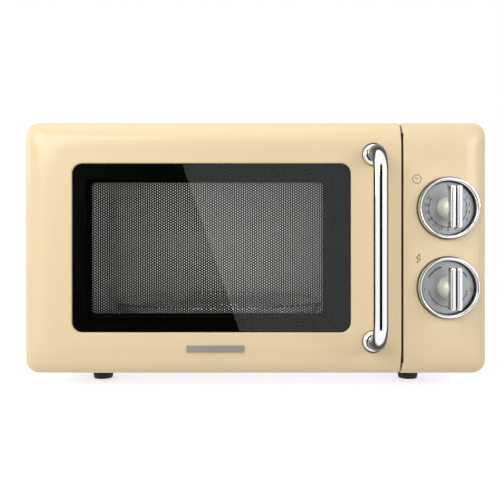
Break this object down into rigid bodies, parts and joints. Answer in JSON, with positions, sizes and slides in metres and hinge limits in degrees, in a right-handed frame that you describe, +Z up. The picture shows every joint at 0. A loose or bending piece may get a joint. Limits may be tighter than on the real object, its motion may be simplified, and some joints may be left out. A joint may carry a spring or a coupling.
{
  "type": "microwave oven",
  "caption": "Countertop microwave oven with a rounded front, a side-hinged windowed door with a bar handle, rotary timer and power knobs, a glass turntable and feet.",
  "frame": {"origin": "centre of the bounding box on the surface the feet stand on", "axes": "+Z up; the front with the door and the controls faces -Y; +X is the control side"},
  "size_m": [0.452, 0.3856, 0.262],
  "materials": {
    "cream_gloss": "cream, high gloss",
    "cream_steel": "cream, satin gloss",
    "chrome": "polished",
    "dial_silver": "silver grey, finely brushed",
    "window_glass": "dark tinted, polished",
    "clear_glass": "clear, polished",
    "black_steel": "black, satin",
    "dark_plastic": "black, matt",
    "cavity_enamel": "pale grey enamel",
    "zinc_steel": "zinc plated",
    "white_plastic": "off-white, matt",
    "copper_coil": "enamelled copper",
    "mica": "mica board",
    "spring_steel": "bright wire",
    "rubber": "black, matt"
  },
  "bodies": {
    "cabinet": {"front_frame": "zinc_steel", "outer_cover": "cream_steel", "rear_panel": "zinc_steel", "base_plate": "zinc_steel", "foot_front_left": "rubber", "foot_front_right": "rubber", "foot_rear_left": "rubber", "foot_rear_right": "rubber", "cavity_wrap": "cavity_enamel", "cavity_floor": "cavity_enamel", "waveguide_cover": "mica", "hinge_upper": "zinc_steel", "hinge_lower": "zinc_steel", "control_fascia": "cream_gloss", "timer_bezel": "chrome", "timer_dial": "dial_silver", "timer_unit": "white_plastic", "power_bezel": "chrome", "power_dial": "dial_silver", "power_selector_unit": "white_plastic", "interlock_bracket": "white_plastic", "primary_switch": "dark_plastic", "monitor_switch": "dark_plastic", "turntable_motor": "zinc_steel", "waveguide": "zinc_steel", "magnetron_yoke": "zinc_steel", "magnetron_tube": "copper_coil", "fan_shroud": "dark_plastic", "fan_motor": "zinc_steel", "transformer_core": "zinc_steel", "transformer_primary_coil": "copper_coil", "transformer_secondary_coil": "copper_coil", "high_voltage_capacitor": "dial_silver", "oven_lamp": "clear_glass", "cord_gland": "rubber"},
    "door": {"door_frame": "cream_gloss", "door_glass": "window_glass", "door_pan": "black_steel", "window_screen": "black_steel", "inner_window": "clear_glass", "choke_cover": "dark_plastic", "handle_bar": "chrome", "handle_rosette_upper": "chrome", "handle_rosette_lower": "chrome", "badge_plate": "chrome", "latch_spring": "spring_steel"},
    "latch": {"latch_bar": "dark_plastic"},
    "timer_control": {"timer_knob": "chrome", "timer_shaft": "zinc_steel"},
    "power_control": {"power_knob": "chrome", "power_shaft": "zinc_steel"},
    "turntable_drive": {"drive_coupler": "white_plastic"},
    "tray": {"glass_tray": "clear_glass"},
    "roller_carrier": {"roller_ring": "white_plastic"},
    "first_roller": {"roller_1": "white_plastic"},
    "second_roller": {"roller_2": "white_plastic"},
    "third_roller": {"roller_3": "white_plastic"},
    "fan": {"fan_blade": "white_plastic"},
    "primary_plunger": {"primary_switch_plunger": "white_plastic"},
    "monitor_plunger": {"monitor_switch_plunger": "white_plastic"}
  },
  "joints": [
    {"name": "door_hinge", "type": "hinge", "parent": "cabinet", "child": "door", "pos_m": [-0.218, -0.12615, 0.139], "axis": [0, 0, -1], "range_deg": [0, 95]},
    {"name": "latch_lift", "type": "slide", "parent": "door", "child": "latch", "axis": [0, 0, 1], "range_m": [0, 0.005], "stiffness_N_per_m": 250, "springref_m": -0.006, "deforming": ["latch_spring"]},
    {"name": "timer_turn", "type": "hinge", "parent": "cabinet", "child": "timer_control", "pos_m": [0.1852, -0.14815, 0.1772], "axis": [0, 1, 0], "range_deg": [0, 295]},
    {"name": "power_turn", "type": "hinge", "parent": "cabinet", "child": "power_control", "pos_m": [0.1852, -0.14815, 0.1008], "axis": [0, 1, 0], "range_deg": [-120, 120]},
    {"name": "turntable_spin", "type": "hinge", "parent": "cabinet", "child": "turntable_drive", "pos_m": [-0.0447, 0.0312, 0.055], "axis": [0, 0, 1], "continuous": true},
    {"name": "tray_lift", "type": "slide", "parent": "turntable_drive", "child": "tray", "axis": [0, 0, 1], "range_m": [0, 0.03]},
    {"name": "roller_carrier_turn", "type": "hinge", "parent": "cabinet", "child": "roller_carrier", "pos_m": [-0.0447, 0.0312, 0.0553], "axis": [0, 0, 1], "continuous": true},
    {"name": "first_roller_spin", "type": "hinge", "parent": "roller_carrier", "child": "first_roller", "pos_m": [-0.0447, 0.1207, 0.0553], "axis": [0, 1, 0], "continuous": true},
    {"name": "second_roller_spin", "type": "hinge", "parent": "roller_carrier", "child": "second_roller", "pos_m": [-0.12221, -0.01355, 0.0553], "axis": [-0.866, -0.5, 0], "continuous": true},
    {"name": "third_roller_spin", "type": "hinge", "parent": "roller_carrier", "child": "third_roller", "pos_m": [0.03281, -0.01355, 0.0553], "axis": [0.866, -0.5, 0], "continuous": true},
    {"name": "fan_spin", "type": "hinge", "parent": "cabinet", "child": "fan", "pos_m": [0.1683, 0.13685, 0.19], "axis": [0, 1, 0], "continuous": true},
    {"name": "primary_plunger_press", "type": "slide", "parent": "cabinet", "child": "primary_plunger", "axis": [0, 1, 0], "range_m": [0, 0.0015], "stiffness_N_per_m": 150, "springref_m": -0.002},
    {"name": "monitor_plunger_press", "type": "slide", "parent": "cabinet", "child": "monitor_plunger", "axis": [0, 1, 0], "range_m": [0, 0.0015], "stiffness_N_per_m": 150, "springref_m": -0.002}
  ],
  "couplings": [
    {"joint": "roller_carrier_turn", "follows": "turntable_spin", "ratio": 0.5},
    {"joint": "first_roller_spin", "follows": "turntable_spin", "ratio": -6.3929},
    {"joint": "second_roller_spin", "follows": "turntable_spin", "ratio": -6.3929},
    {"joint": "third_roller_spin", "follows": "turntable_spin", "ratio": -6.3929}
  ]
}
